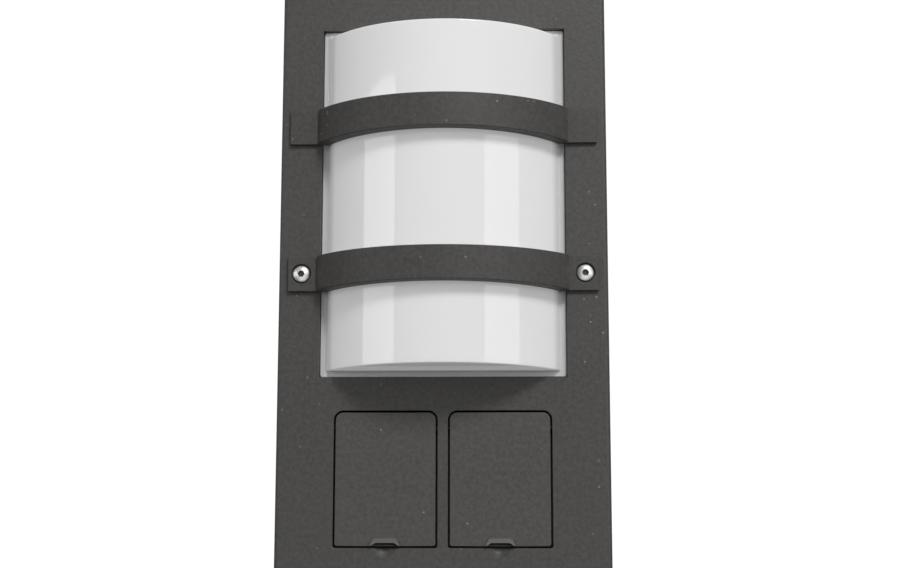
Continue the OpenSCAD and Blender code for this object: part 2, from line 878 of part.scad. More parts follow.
// Lamp base with a few rounded thread ridges
module lamp_cap() {
    ridge = 0.6;
    ridges = 4;
    step = (cap_end - cap_foot)/(ridges + 1);
    color(zinc) translate([0, fy(lamp_depth), holder_seat]) {
        translate([0, 0, holder_floor + shell_floor])
            cylinder(r = tip_r, h = cap_foot - holder_floor - shell_floor);
        translate([0, 0, cap_foot]) cylinder(r = cap_r - ridge, h = cap_end - cap_foot);
        for (k = [1 : ridges]) translate([0, 0, cap_foot + k*step]) rotate_extrude()
            translate([cap_r - 2*ridge, 0]) circle(2*ridge, $fn = 24);
    }
}

// Half outline of the lamp's glass
module bulb_outline(inset) {
    shoulder_z = bulb_mid - shoulder_drop;
    shoulder_r = sqrt(bulb_r*bulb_r - shoulder_drop*shoulder_drop) - shoulder_step - inset;
    polygon([[0, cap_end], [neck_r - inset, cap_end], [neck_r - inset, neck_end],
        [shoulder_r, shoulder_z], [0, shoulder_z]]);
    intersection() {
        translate([0, bulb_mid]) circle(bulb_r - inset, $fn = 96);
        translate([0, shoulder_z - shoulder_step]) square([bulb_r, 2*bulb_r]);
    }
}

module lamp_bulb() {
    color(opal) translate([0, fy(lamp_depth), holder_seat]) rotate_extrude() difference() {
        bulb_outline(0);
        bulb_outline(glass_t);
    }
}

// Moulded carrier behind the lid openings: sockets, seals, hinge troughs
module socket_carrier() {
    color(black_plastic) difference() {
        union() {
            slab(carrier_w, carrier_h, moulding_r, wall, carrier_back, 0, carrier_mid);
            block(-lid_x - opening_w/2 - trough_wall, lid_x + opening_w/2 + trough_wall, wall,
                trough_depth + trough_wall, trough_low - trough_wall, trough_top + trough_wall);
        }
        for (s = [-1, 1]) {
            block(s*lid_x - opening_w/2, s*lid_x + opening_w/2, wall - cut, seal_depth, opening_low,
                hinge_z);
            block(s*lid_x - opening_w/2, s*lid_x + opening_w/2, wall - cut, trough_depth, trough_low,
                trough_top);
            rod_x(pin_r + groove_clear, s*lid_x - pin_half - groove_clear,
                s*lid_x + pin_half + groove_clear, hinge_depth, hinge_z);
            slab(socket_w + 2*fit_clear, socket_w + 2*fit_clear, moulding_r, wall,
                seal_depth + socket_flange_t, s*lid_x, socket_z);
            rod_y(cup_r + fit_clear, wall, carrier_back + cut, s*lid_x, socket_z);
            for (t = [-1, 1]) rod_y(m4 + hole_clear, wall - cut, carrier_back + cut, s*carrier_screw_x,
                carrier_mid + t*carrier_screw_z);
        }
        at_insert_screws() rod_y(m3 + thread_clear, wall, carrier_back + cut, 0, 0);
    }
}

module at_insert_screws() {
    for (s = [-1, 1], t = [-1, 1])
        translate([s*lid_x + t*insert_screw, 0, socket_z - t*insert_screw]) children();
}

module socket_carrier_screws() {
    color(zinc) for (s = [-1, 1], t = [-1, 1])
        facing(1, carrier_back, s*carrier_screw_x, carrier_mid + t*carrier_screw_z)
            pan_screw(m4, carrier_back - wall + blind_t - tip_gap);
}

// Socket insert: square flange, round plug well with guide ribs, chamber for the contacts
module socket_insert(s) {
    color(black_plastic) difference() {
        union() {
            slab(socket_w, socket_w, moulding_r, seal_depth, seal_depth + socket_flange_t, s*lid_x,
                socket_z);
            rod_y(cup_r, seal_depth, chamber_depth, s*lid_x, socket_z);
            slab(chamber_w, chamber_w, moulding_r, well_floor, chamber_end, s*lid_x, socket_z);
        }
        difference() {
            rod_y(well_r, seal_depth - cut, well_floor, s*lid_x, socket_z);
            for (t = [-1, 1]) block(s*lid_x + t*well_r - guide_rib, s*lid_x + t*well_r + guide_rib,
                seal_depth + guide_rib, well_floor + cut, socket_z - guide_rib_h/2,
                socket_z + guide_rib_h/2);
        }
        slab(chamber_w - 2*chamber_wall, chamber_w - 2*chamber_wall, moulding_r/2, chamber_depth,
            chamber_end + cut, s*lid_x, socket_z);
        for (t = [-1, 1]) {
            rod_y(pin_hole_r, well_floor - cut, chamber_depth + cut, s*lid_x + t*pin_pitch/2, socket_z);
            facing(-1, seal_depth, s*lid_x + t*insert_screw, socket_z - t*insert_screw)
                flush_hole(m3, socket_flange_t);
        }
    }
}

// Lid of the chamber, with a lip that locates it
module socket_back(s) {
    lip_side = chamber_w - 2*chamber_wall - 2*fit_clear;
    hollow = chamber_w - 4*chamber_wall;
    color(black_plastic) difference() {
        union() {
            slab(chamber_w, chamber_w, moulding_r, chamber_end, socket_back_end, s*lid_x, socket_z);
            slab(lip_side, lip_side, moulding_r/2, chamber_end - back_lip, chamber_end + back_lip/2,
                s*lid_x, socket_z);
        }
        slab(hollow, hollow, moulding_r/2, chamber_end - back_lip - cut, chamber_end, s*lid_x,
            socket_z);
    }
}

// Two contact sleeves with their clamp blocks
module socket_contacts(s) {
    color(brass_yellow) for (t = [-1, 1]) difference() {
        union() {
            rod_y(sleeve_r, chamber_depth, chamber_end, s*lid_x + t*pin_pitch/2, socket_z);
            slab(contact_block, contact_block, contact_block_r, chamber_end - contact_block,
                chamber_end, s*lid_x + t*pin_pitch/2, socket_z);
        }
        rod_y(contact_r, chamber_depth - cut, chamber_end + cut, s*lid_x + t*pin_pitch/2, socket_z);
    }
}

// Sprung earth contacts at the top and bottom of the well
module earth_clips(s) {
    color(stainless) for (t = [-1, 1]) translate([s*lid_x, 0, socket_z]) scale([1, 1, t]) {
        block(-clip_w/2, clip_w/2, clip_top, well_floor, well_r - clip_in, well_r - clip_in + clip_t);
        block(-clip_w/2, clip_w/2, well_floor - clip_t, well_floor, well_r - 2*clip_in,
            well_r - clip_in + clip_t);
    }
}

module socket_insert_screws() {
    color(stainless) at_insert_screws() facing(-1, seal_depth, 0, 0)
        flush_screw(m3, carrier_back - seal_depth);
}

// Spring-closed lid: flat plate, hinge knuckles behind it, bay for the spring, finger lip
module lid(s) {
    x = s*lid_x;
    color(anthracite) difference() {
        union() {
            translate([x, fy(lid_t), (lid_top + lid_low)/2]) rotate([90, 0, 0]) linear_extrude(lid_t)
                lid_outline(lid_w, lid_h, lid_top_r, lid_low_r);
            for (t = [-1, 1]) rod_x(knuckle_r, min(x + t*knuckle_in, x + t*knuckle_out),
                max(x + t*knuckle_in, x + t*knuckle_out), hinge_depth, hinge_z);
            finger_lip(x);
        }
        block(x - spring_bay, x + spring_bay, lid_skin, lid_t + knuckle_r,
            hinge_z - lid_leg - bay_room, lid_top + cut);
        rod_x(pin_r + pin_clear, x - lid_w, x + lid_w, hinge_depth, hinge_z);
        translate([x, fy(lid_t - lid_skin), lid_low]) rotate([90, 0, 0]) linear_extrude(lip_out + lid_t)
            polygon([[-lip_arch_w/2, -cut], [lip_arch_w/2, -cut], [lip_arch_w/2, 0],
                [lip_arch_top/2, lip_arch_h], [-lip_arch_top/2, lip_arch_h], [-lip_arch_w/2, 0]]);
    }
}

// Wedge that stands out towards its lower edge, narrower at the top
module finger_lip(x) {
    intersection() {
        translate([x - lip_w/2, 0, lid_low]) rotate([90, 0, 90]) linear_extrude(lip_w)
            polygon([[fy(lip_root), 0], [fy(-lip_out), 0], [fy(-lip_out), lip_front],
                [fy(-lip_bend_out), lip_bend], [fy(0), lip_h], [fy(lip_root), lip_h]]);
        translate([x, fy(lip_root), lid_low]) rotate([90, 0, 0]) linear_extrude(lip_out + 2*lip_root)
            polygon([[-lip_w/2, 0], [lip_w/2, 0], [lip_top_w/2 + lip_corner/3, lip_h - lip_corner],
                [lip_top_w/2 - lip_corner, lip_h], [lip_corner - lip_top_w/2, lip_h],
                [-lip_top_w/2 - lip_corner/3, lip_h - lip_corner]]);
    }
}

module hinge_pin(s) {
    color(black_steel) rod_x(pin_r, s*lid_x - pin_half, s*lid_x + pin_half, hinge_depth, hinge_z);
}

// Spring route in hinge coordinates: across, behind the axis, above the axis
coil_steps = (coil_turns + 0.5)*coil_rings;
coil_half = coil_pitch*(coil_turns + 0.5)/2;
spring_route = concat(
    [[-coil_half, -coil_r, -lid_leg], [-coil_half, -coil_r, -lid_leg/2]],
    [for (k = [0 : coil_steps]) let (a = 180 - 360*k/coil_rings)
        [-coil_half + 2*coil_half*k/coil_steps, coil_r*cos(a), coil_r*sin(a)]],
    [[coil_half, coil_r, -carrier_leg/2], [coil_half, coil_r, -carrier_leg]]);
function unit(v) = v/norm(v);
function along(p, k) = unit(p[min(k + 1, len(p) - 1)] - p[max(k - 1, 0)]);
route_end = len(spring_route) - 1;
spring_gap = min([for (i = [0 : route_end], j = [i + coil_rings - 2 : 1 : route_end])
    norm(spring_route[i] - spring_route[j])]) - 2*wire_r;
echo(least_gap_between_spring_turns = spring_gap);

// Round wire along a route that never runs straight across the width
module wire(route, r, sides) {
    count = len(route);
    points = [for (k = [0 : count - 1], m = [0 : sides - 1])
        let (t = along(route, k), u = unit([1, 0, 0] - t*t[0]), v = cross(t, u))
        route[k] + r*(cos(360*m/sides)*u + sin(360*m/sides)*v)];
    walls = [for (k = [0 : count - 2], m = [0 : sides - 1])
        let (a = k*sides + m, b = k*sides + (m + 1)%sides)
        each [[a, b + sides, b], [a, a + sides, b + sides]]];
    ends = [for (m = [1 : sides - 2]) each [[0, m, m + 1],
        [(count - 1)*sides, (count - 1)*sides + m + 1, (count - 1)*sides + m]]];
    polyhedron(points = points, faces = concat(walls, ends));
}

module lid_spring(s) {
    color(stainless) translate([s*lid_x, fy(hinge_depth), hinge_z])
        wire(spring_route, wire_r, wire_sides);
}

module lid_seal(s) {
    color(dark_rubber) difference() {
        slab(seal_w, seal_h, moulding_r, lid_t, seal_depth, s*lid_x, socket_z);
        slab(seal_hole, seal_hole, seal_hole_r, lid_t - cut, seal_depth + cut, s*lid_x, socket_z);
    }
}

// Upright plate on two feet, behind the service cover
module terminal_bracket() {
    color(zinc) difference() {
        union() {
            block(-bracket_half, bracket_half, bracket_depth - bracket_t, bracket_depth, base_t,
                base_t + bracket_h);
            block(-bracket_half, bracket_half, bracket_depth - foot_l - bracket_t, bracket_depth, base_t,
                base_t + bracket_t);
        }
        block(-bracket_arch, bracket_arch, 0, bracket_depth + cut, base_t - cut,
            base_t + bracket_arch_h);
        for (s = [-1, 1]) translate([s*foot_screw_x, fy(foot_screw_depth), base_t - cut])
            cylinder(r = m5 + hole_clear, h = bracket_t + 2*cut);
        rod_y(m6 + thread_clear, bracket_depth - bracket_t - cut, bracket_depth + cut, stud_x, stud_z);
    }
}

module terminal_bracket_screws() {
    color(zinc) for (s = [-1, 1]) translate([s*foot_screw_x, fy(foot_screw_depth), base_t + bracket_t])
        pan_screw(m5, bracket_t + base_t - foot_blind - tip_gap);
}

module terminal_block() {
    step = block_w/block_ways;
    color(terminal_grey) difference() {
        block(-block_w/2, block_w/2, bracket_depth, bracket_depth + block_l, block_z, block_z + block_h);
        for (k = [0 : block_ways - 1]) {
            x = (k + 0.5)*step - block_w/2;
            rod_y(way_r, bracket_depth + block_l/2, bracket_depth + block_l + cut, x,
                block_z + block_h - way_drop);
            translate([x, fy(bracket_depth + block_l/4), block_z - cut])
                cylinder(r = way_r, h = block_h/2);
        }
    }
}

module earth_stud() {
    color(brass_yellow) {
        rod_y(m6, bracket_depth - bracket_t, bracket_depth + stud_len, stud_x, stud_z);
        translate([stud_x, fy(bracket_depth + nut_h), stud_z]) rotate([90, 0, 0])
            cylinder(r = head_wide*m6, h = nut_h, $fn = 6);
    }
}

// Quarter bend in a lead: centre at the origin, starting along +X, ending along +Y
module quarter_bend(bend, r) {
    rotate_extrude(angle = 90) translate([bend, 0]) circle(r, $fn = 32);
}

// Lead from the terminals up behind the tray, through its grommet and up into the lamp holder
module lamp_lead() {
    rise = lamp_lead_z - lamp_bend - (block_z + block_h);
    run = lead_depth - lamp_depth - 2*lamp_bend;
    color(lead_grey) {
        translate([0, fy(lead_depth), block_z + block_h]) cylinder(r = lamp_lead_r, h = rise);
        translate([0, fy(lead_depth - lamp_bend), lamp_lead_z - lamp_bend]) rotate([90, 0, 90])
            quarter_bend(lamp_bend, lamp_lead_r);
        rod_y(lamp_lead_r, lamp_depth + lamp_bend, lamp_depth + lamp_bend + run, 0, lamp_lead_z);
        translate([0, fy(lamp_depth + lamp_bend), lamp_lead_z + lamp_bend]) rotate([90, 180, 90])
            quarter_bend(lamp_bend, lamp_lead_r);
        translate([0, fy(lamp_depth), lamp_lead_z + lamp_bend])
            cylinder(r = lamp_lead_r, h = holder_seat - lamp_lead_z - lamp_bend);
    }
}

// Lead from the terminals up to the back of the right-hand socket
module socket_lead() {
    x = lid_x;
    rise = socket_z - socket_bend - (block_z + block_h);
    color(lead_grey) {
        translate([x, fy(lead_depth), block_z + block_h]) cylinder(r = socket_lead_r, h = rise);
        translate([x, fy(lead_depth - socket_bend), socket_z - socket_bend]) rotate([90, 0, 90])
            quarter_bend(socket_bend, socket_lead_r);
        rod_y(socket_lead_r, socket_back_end, lead_depth - socket_bend, x, socket_z);
    }
}

// Short lead that joins the two sockets
module socket_link_lead() {
    color(lead_grey) for (s = [-1, 1]) scale([s, 1, 1]) {
        rod_y(link_r, socket_back_end, link_depth - link_bend, link_x, socket_z);
        translate([link_x - link_bend, fy(link_depth - link_bend), socket_z])
            quarter_bend(link_bend, link_r);
        rod_x(link_r, 0, link_x - link_bend, link_depth, socket_z);
    }
}

column();
base_plate();
base_screws();
cable_grommet();
top_cap();
top_cap_gasket();
top_cap_screws();
service_cover();
service_cover_gasket();
service_cover_screws();
lamp_tray();
lamp_tray_screws();
tray_grommet();
diffuser_gasket();
diffuser();
upper_strap();
upper_strap_screws();
lower_strap();
lower_strap_screws();
lampholder_bracket();
lampholder_bracket_screws();
lampholder();
lampholder_screws();
lampholder_shell();
lamp_cap();
lamp_bulb();
socket_carrier();
socket_carrier_screws();
socket_insert(-1);  // left_socket_insert
socket_insert(1);  // right_socket_insert
socket_back(-1);  // left_socket_back
socket_back(1);  // right_socket_back
socket_contacts(-1);  // left_socket_contacts
socket_contacts(1);  // right_socket_contacts
earth_clips(-1);  // left_earth_clips
earth_clips(1);  // right_earth_clips
socket_insert_screws();
lid(-1);  // left_lid
lid(1);  // right_lid
hinge_pin(-1);  // left_hinge_pin
hinge_pin(1);  // right_hinge_pin
lid_spring(-1);  // left_lid_spring
lid_spring(1);  // right_lid_spring
lid_seal(-1);  // left_lid_seal
lid_seal(1);  // right_lid_seal
terminal_bracket();
terminal_bracket_screws();
terminal_block();
earth_stud();
lamp_lead();
socket_lead();
socket_link_lead();
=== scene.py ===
import json
import math
import bpy
import bmesh
from mathutils import Matrix, Vector


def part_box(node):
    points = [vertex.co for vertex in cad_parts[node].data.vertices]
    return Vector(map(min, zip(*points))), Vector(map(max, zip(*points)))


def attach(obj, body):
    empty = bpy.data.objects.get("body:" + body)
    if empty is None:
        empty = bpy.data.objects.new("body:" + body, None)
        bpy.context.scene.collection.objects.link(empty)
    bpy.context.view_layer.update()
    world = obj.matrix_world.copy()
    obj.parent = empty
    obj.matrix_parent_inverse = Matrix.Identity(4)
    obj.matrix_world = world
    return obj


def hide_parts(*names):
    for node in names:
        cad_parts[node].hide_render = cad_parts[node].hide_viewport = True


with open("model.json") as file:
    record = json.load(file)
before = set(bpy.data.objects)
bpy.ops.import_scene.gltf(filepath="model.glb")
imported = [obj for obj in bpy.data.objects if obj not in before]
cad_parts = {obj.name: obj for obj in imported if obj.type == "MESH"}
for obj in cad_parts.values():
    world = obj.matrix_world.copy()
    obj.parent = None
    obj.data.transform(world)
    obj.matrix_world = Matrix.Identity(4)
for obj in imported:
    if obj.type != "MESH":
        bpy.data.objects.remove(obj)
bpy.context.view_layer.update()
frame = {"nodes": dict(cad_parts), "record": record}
nodes = frame["nodes"]
bodyOf = {node: body for body, held in frame["record"]["behaviour"]["bodies"].items()
          for node in held}
slotOf = {part["node"]: part["material_slot"] for part in frame["record"]["subparts"]}
mm = 0.001
touching = 0.1*mm  # a point this close to a place counts as lying on it
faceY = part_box("column")[0].y  # the column's front, which the places below are measured from
print("frame loaded:", len(nodes), "nodes")

headRadius = {"lower_strap_screws": 4.6, "service_cover_screws": 4}  # in millimetres


# Distance of a pair of screws from the middle, in millimetres, from the box round their heads
def screwPlace(name):
    return (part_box(name)[1].x - headRadius[name]*mm)/mm


screwAcross = {"lower_strap": screwPlace("lower_strap_screws"),
               "service_cover": screwPlace("service_cover_screws")}


# Camera at the photograph's place: a little right of centre, level with the lids, looking up.
# Angles are in radians, and the lens and the sensor in millimetres
cameraView = {"place": (0.0333, -0.8936, 0.6717), "pitch": 0.16157, "yaw": 0.03516, "roll": 0.0013,
              "lens": 62.4, "sensor": 36, "nearest": 0.01}


def makeCamera():
    data = bpy.data.cameras.new("camera")
    data.lens = cameraView["lens"]
    data.sensor_width = cameraView["sensor"]
    data.clip_start = cameraView["nearest"]
    camera = bpy.data.objects.new("camera", data)
    camera.location = cameraView["place"]
    turn = (Matrix.Rotation(cameraView["yaw"], 3, "Z")
            @ Matrix.Rotation(math.pi/2 + cameraView["pitch"], 3, "X")
            @ Matrix.Rotation(cameraView["roll"], 3, "Z"))
    camera.rotation_euler = turn.to_euler()
    bpy.context.scene.collection.objects.link(camera)
    bpy.context.scene.camera = camera


makeCamera()
print("camera placed")


# Node helpers for the materials. A pattern is its scale, in repeats a metre, and its detail
def startMaterial(name):
    material = bpy.data.materials.new(name)
    material.use_nodes = True
    tree = material.node_tree
    tree.nodes.clear()
    output = tree.nodes.new("ShaderNodeOutputMaterial")
    shader = tree.nodes.new("ShaderNodeBsdfPrincipled")
    tree.links.new(shader.outputs["BSDF"], output.inputs["Surface"])
    coords = tree.nodes.new("ShaderNodeTexCoord")
    return material, tree, shader, coords.outputs["Object"]


def addNoise(tree, coords, pattern):
    noise = tree.nodes.new("ShaderNodeTexNoise")
    noise.inputs["Scale"].default_value, noise.inputs["Detail"].default_value = pattern
    tree.links.new(coords, noise.inputs["Vector"])
    return noise.outputs["Fac"]


# Value that runs from start to end while the given one runs over the span
def addRamp(tree, value, span, start=0, end=1):
    ramp = tree.nodes.new("ShaderNodeMapRange")
    ramp.inputs["From Min"].default_value, ramp.inputs["From Max"].default_value = span
    ramp.inputs["To Min"].default_value = start
    ramp.inputs["To Max"].default_value = end
    tree.links.new(value, ramp.inputs["Value"])
    return ramp.outputs["Result"]


def multiply(tree, first, second):
    product = tree.nodes.new("ShaderNodeMath")
    product.operation = "MULTIPLY"
    tree.links.new(first, product.inputs[0])
    tree.links.new(second, product.inputs[1])
    return product.outputs["Value"]


def mixColours(tree, factor, first, second):
    mix = tree.nodes.new("ShaderNodeMix")
    mix.data_type = "RGBA"
    tree.links.new(factor, mix.inputs["Factor"])
    for socket, colour in ((mix.inputs[6], first), (mix.inputs[7], second)):
        if isinstance(colour, tuple):
            socket.default_value = (*colour, 1)
        else:
            tree.links.new(colour, socket)
    return mix.outputs[2]


def addBump(tree, shader, height, distance, strength, before=None):
    bump = tree.nodes.new("ShaderNodeBump")
    bump.inputs["Distance"].default_value = distance*mm
    bump.inputs["Strength"].default_value = strength
    tree.links.new(height, bump.inputs["Height"])
    if before:
        tree.links.new(before, bump.inputs["Normal"])
    tree.links.new(bump.outputs["Normal"], shader.inputs["Normal"])
    return bump.outputs["Normal"]


# How far back a point lies
def depthOf(tree, coords):
    split = tree.nodes.new("ShaderNodeSeparateXYZ")
    tree.links.new(coords, split.inputs["Vector"])
    return split.outputs["Y"]


def shade(colour, factor):
    return tuple(min(1.0, c*factor) for c in colour)


# Powder coat: cloudy tone, fine grains of light and dark, and scattered pale specks. What stands
# out of a lid's face is made smoother from handling and painted paler as a highlight. Tones are
# factors on the coat's colour, and depths are in millimetres
coatForm = {"cloud": (14, 2), "cloudSpan": (0.3, 0.7), "cloudTones": (0.91, 1.07),
            "flecks": (420, 3), "fleckSpan": (0.38, 0.66), "fleckShare": 0.6, "fleckTone": 1.6,
            "grain": (1300, 2), "grainSpan": (0.35, 0.7), "grainShare": 0.5, "grainTone": 1.5,
            "speckScale": 300, "speckSpan": (0.22, 0.08), "speckChoice": (0.93, 1), "speckTone": 5,
            "roughSpan": (0.3, 0.7), "smoother": 0.08, "rougher": 0.1,
            "peel": (700, 3), "peelDepth": 0.16, "grainDepth": 0.08, "relief": 0.6,
            "wearAndHighlightFrom": 0.3, "wearAndHighlightTo": 1.2, "wornPolish": 0.86}


def powderCoat(name, colour, roughness=0.46, gloss=0.45, wearAndPaintedHighlight=0):
    material, tree, shader, coords = startMaterial(name)
    cloud, flecks, grain = (addNoise(tree, coords, coatForm[key])
                            for key in ("cloud", "flecks", "grain"))
    tone = mixColours(tree, addRamp(tree, cloud, coatForm["cloudSpan"]),
                      *(shade(colour, factor) for factor in coatForm["cloudTones"]))
    for pattern, kind in ((flecks, "fleck"), (grain, "grain")):
        share = addRamp(tree, pattern, coatForm[kind + "Span"], 0, coatForm[kind + "Share"])
        tone = mixColours(tree, share, tone, shade(colour, coatForm[kind + "Tone"]))
    specks = tree.nodes.new("ShaderNodeTexVoronoi")
    specks.inputs["Scale"].default_value = coatForm["speckScale"]
    tree.links.new(coords, specks.inputs["Vector"])
    rare = tree.nodes.new("ShaderNodeSeparateColor")
    tree.links.new(specks.outputs["Color"], rare.inputs["Color"])
    near = addRamp(tree, specks.outputs["Distance"], coatForm["speckSpan"])
    chosen = addRamp(tree, rare.outputs["Red"], coatForm["speckChoice"])
    speck = multiply(tree, near, chosen)
    tone = mixColours(tree, speck, tone, shade(colour, coatForm["speckTone"]))
    rough = addRamp(tree, grain, coatForm["roughSpan"], roughness - coatForm["smoother"],
                    roughness + coatForm["rougher"])
    if wearAndPaintedHighlight:  # smoother from handling, and paler as a painted highlight, on what stands out of the face
        span = (faceY - coatForm["wearAndHighlightFrom"]*mm, faceY - coatForm["wearAndHighlightTo"]*mm)
        polishAndPaintedHighlight = addRamp(tree, depthOf(tree, coords), span)
        # Painted highlight: the paler tone stands in for light caught by the upward-leaning lip
        tone = mixColours(tree, polishAndPaintedHighlight, tone, shade(colour, 1 + wearAndPaintedHighlight))
        rough = multiply(tree, rough, addRamp(tree, polishAndPaintedHighlight, (0, 1), 1, coatForm["wornPolish"]))
    tree.links.new(tone, shader.inputs["Base Color"])
    tree.links.new(rough, shader.inputs["Roughness"])
    shader.inputs["Specular IOR Level"].default_value = gloss
    peel = addNoise(tree, coords, coatForm["peel"])
    first = addBump(tree, shader, peel, coatForm["peelDepth"], coatForm["relief"])
    addBump(tree, shader, grain, coatForm["grainDepth"], coatForm["relief"], first)
    return material


# Opal acrylic and glass: milky all through and polished. A painted glow, an emission of its own
# tone standing in for light carried through the milky wall, fades towards its rim, between two
# depths from the column's front in millimetres
opalForm = {"cloud": (22, 2), "cloudTones": (0.985, 1.01), "haze": (60, 3), "hazeSpan": (0.3, 0.7),
            "smoother": 0.8, "rougher": 1.3, "bending": 1.62, "milk": 0.3, "milkDepth": 0.003,
            "fadeFrom": -3, "fadeTo": 2, "rimShare": 1/8}


def opalAcrylic(name, colour, roughness=0.05, glow=0):
    material, tree, shader, coords = startMaterial(name)
    tone = mixColours(tree, addNoise(tree, coords, opalForm["cloud"]),
                      *(shade(colour, factor) for factor in opalForm["cloudTones"]))
    tree.links.new(tone, shader.inputs["Base Color"])
    rough = addRamp(tree, addNoise(tree, coords, opalForm["haze"]), opalForm["hazeSpan"],
                    roughness*opalForm["smoother"], roughness*opalForm["rougher"])
    tree.links.new(rough, shader.inputs["Roughness"])
    shader.inputs["IOR"].default_value = opalForm["bending"]
    shader.inputs["Subsurface Weight"].default_value = opalForm["milk"]
    shader.inputs["Subsurface Radius"].default_value = (1, 1, 1)
    shader.inputs["Subsurface Scale"].default_value = opalForm["milkDepth"]
    # Painted glow: the diffuser is no lamp, yet its tone is emitted, strongest in front and fading
    # to a share at the rim
    tree.links.new(tone, shader.inputs["Emission Color"])
    span = (faceY + opalForm["fadeFrom"]*mm, faceY + opalForm["fadeTo"]*mm)
    paintedGlow = addRamp(tree, depthOf(tree, coords), span, glow, glow*opalForm["rimShare"])
    tree.links.new(paintedGlow, shader.inputs["Emission Strength"])
    return material


# Metals: turned or drawn grain with small scratches. In a hollow, painted shade darkens the colour
# between two distances in front of the column, in millimetres, and ends at the column's front
metalForm = {"grainDetail": 3, "tones": (0.88, 1.08), "roughSpan": (0.2, 0.8), "smoother": 0.7,
             "rougher": 1.3, "scratchDepth": 0.02, "relief": 0.4, "faceMargin": 0.01}
# Painted shade for the strap screws' hex sockets and the ring round their heads: where it starts,
# where it is full, and its tone
socketHollow = {"from": 2.25, "to": 2.0, "tone": 0.1}


def bareMetal(name, colour, roughness, grainScale=900, hollow=None):
    material, tree, shader, coords = startMaterial(name)
    grain = addNoise(tree, coords, (grainScale, metalForm["grainDetail"]))
    tone = mixColours(tree, grain, *(shade(colour, factor) for factor in metalForm["tones"]))
    if hollow:
        depth = depthOf(tree, coords)
        deep = addRamp(tree, depth, (faceY - hollow["from"]*mm, faceY - hollow["to"]*mm))
        outside = addRamp(tree, depth, (faceY - metalForm["faceMargin"]*mm, faceY), 1, 0)
        # Painted shade: a darker colour where the screws sit in their recesses
        paintedShade = multiply(tree, deep, outside)
        tone = mixColours(tree, paintedShade, tone, shade(colour, hollow["tone"]))
    tree.links.new(tone, shader.inputs["Base Color"])
    shader.inputs["Metallic"].default_value = 1
    rough = addRamp(tree, grain, metalForm["roughSpan"], roughness*metalForm["smoother"],
                    roughness*metalForm["rougher"])
    tree.links.new(rough, shader.inputs["Roughness"])
    addBump(tree, shader, grain, metalForm["scratchDepth"], metalForm["relief"])
    return material


# Plastics, rubber, porcelain and enamel share one recipe with their own grain, whose depth is in
# millimetres. The spread is how far the tone varies
mouldedForm = {"grainDetail": 3, "cloud": (18, 2), "roughSpan": (0.3, 0.7), "smoother": 0.85,
               "rougher": 1.15, "relief": 0.5}


def mouldedFinish(name, colour, roughness, grainScale, grainDepth, spread=0.06):
    material, tree, shader, coords = startMaterial(name)
    grain = addNoise(tree, coords, (grainScale, mouldedForm["grainDetail"]))
    cloud = addNoise(tree, coords, mouldedForm["cloud"])
    tone = mixColours(tree, cloud, shade(colour, 1 - spread), shade(colour, 1 + spread))
    tree.links.new(tone, shader.inputs["Base Color"])
    rough = addRamp(tree, grain, mouldedForm["roughSpan"], roughness*mouldedForm["smoother"],
                    min(1, roughness*mouldedForm["rougher"]))
    tree.links.new(rough, shader.inputs["Roughness"])
    addBump(tree, shader, grain, grainDepth, mouldedForm["relief"])
    return material


coatTone = (0.0665, 0.064, 0.0612)
strapTone, lidTone = shade(coatTone, 1.06), shade(coatTone, 1.14)
finishes = {
    "housing_paint": powderCoat("housingPaint", coatTone),
    "strap_paint": powderCoat("strapPaint", strapTone, roughness=0.52, gloss=0.32),
    # The lids' lips get a painted highlight, a paler tone, along with their polish
    "lid_paint": powderCoat("lidPaint", lidTone, wearAndPaintedHighlight=0.8),
    # The diffuser carries a painted glow, set by glow
    "opal_diffuser": opalAcrylic("opalDiffuser", (0.80, 0.80, 0.805), glow=0.28),
    "tray_white": mouldedFinish("trayWhite", (0.82, 0.82, 0.80), 0.35, 400, 0.03, spread=0.02),
    "opal_glass": opalAcrylic("opalGlass", (0.84, 0.84, 0.82), roughness=0.12),
    "porcelain": mouldedFinish("porcelain", (0.80, 0.79, 0.74), 0.18, 300, 0.02, spread=0.03),
    "stainless": bareMetal("stainless", (0.95, 0.95, 0.94), 0.46, hollow=socketHollow),
    "black_steel": bareMetal("blackSteel", (0.05, 0.05, 0.052), 0.4),
    "zinc_steel": bareMetal("zincSteel", (0.50, 0.51, 0.53), 0.35, grainScale=300),
    "brass": bareMetal("brass", (0.72, 0.55, 0.25), 0.28),
    "black_rubber": mouldedFinish("blackRubber", (0.02, 0.02, 0.02), 0.75, 600, 0.05),
    "grey_silicone": mouldedFinish("greySilicone", (0.36, 0.36, 0.37), 0.6, 500, 0.04),
    "socket_plastic": mouldedFinish("socketPlastic", (0.03, 0.03, 0.032), 0.45, 1500, 0.05),
    "terminal_plastic": mouldedFinish("terminalPlastic", (0.62, 0.62, 0.58), 0.45, 1200, 0.04),
    "lead_jacket": mouldedFinish("leadJacket", (0.09, 0.095, 0.1), 0.5, 800, 0.04),
}
print("materials made:", len(finishes))


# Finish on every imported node
def dressNodes():
    for name, node in nodes.items():
        node.data.materials.clear()
        node.data.materials.append(finishes[slotOf[name]])


dressNodes()
print("nodes dressed")


# Millimetres from the middle of a piece's box, along x and z, where it is cut so that no flat
# face has a hole in it
strapJoint = 68.5  # where the straps' bars meet their pads
coverCuts = (-screwAcross["service_cover"], screwAcross["service_cover"])
strapCuts = (-strapJoint, -screwAcross["lower_strap"], strapJoint, screwAcross["lower_strap"])
cutPlaces = {"left_socket_insert": ((0,), (0,)), "right_socket_insert": ((0,), (0,)),
             "service_cover": (coverCuts, ()),
             "service_cover_gasket": ((coverCuts[0], 0, coverCuts[1]), (0,)),
             "diffuser": ((0,), ()), "upper_strap": (strapCuts, ()), "lower_strap": (strapCuts, ())}

# Gaps that are welded shut and distance from a cut in millimetres, and the angle in degrees under
# which two faces are one
cleaning = {"weld": 0.002, "strapWeld": 0.06, "onCut": 0.01, "flatAngle": 0.5}


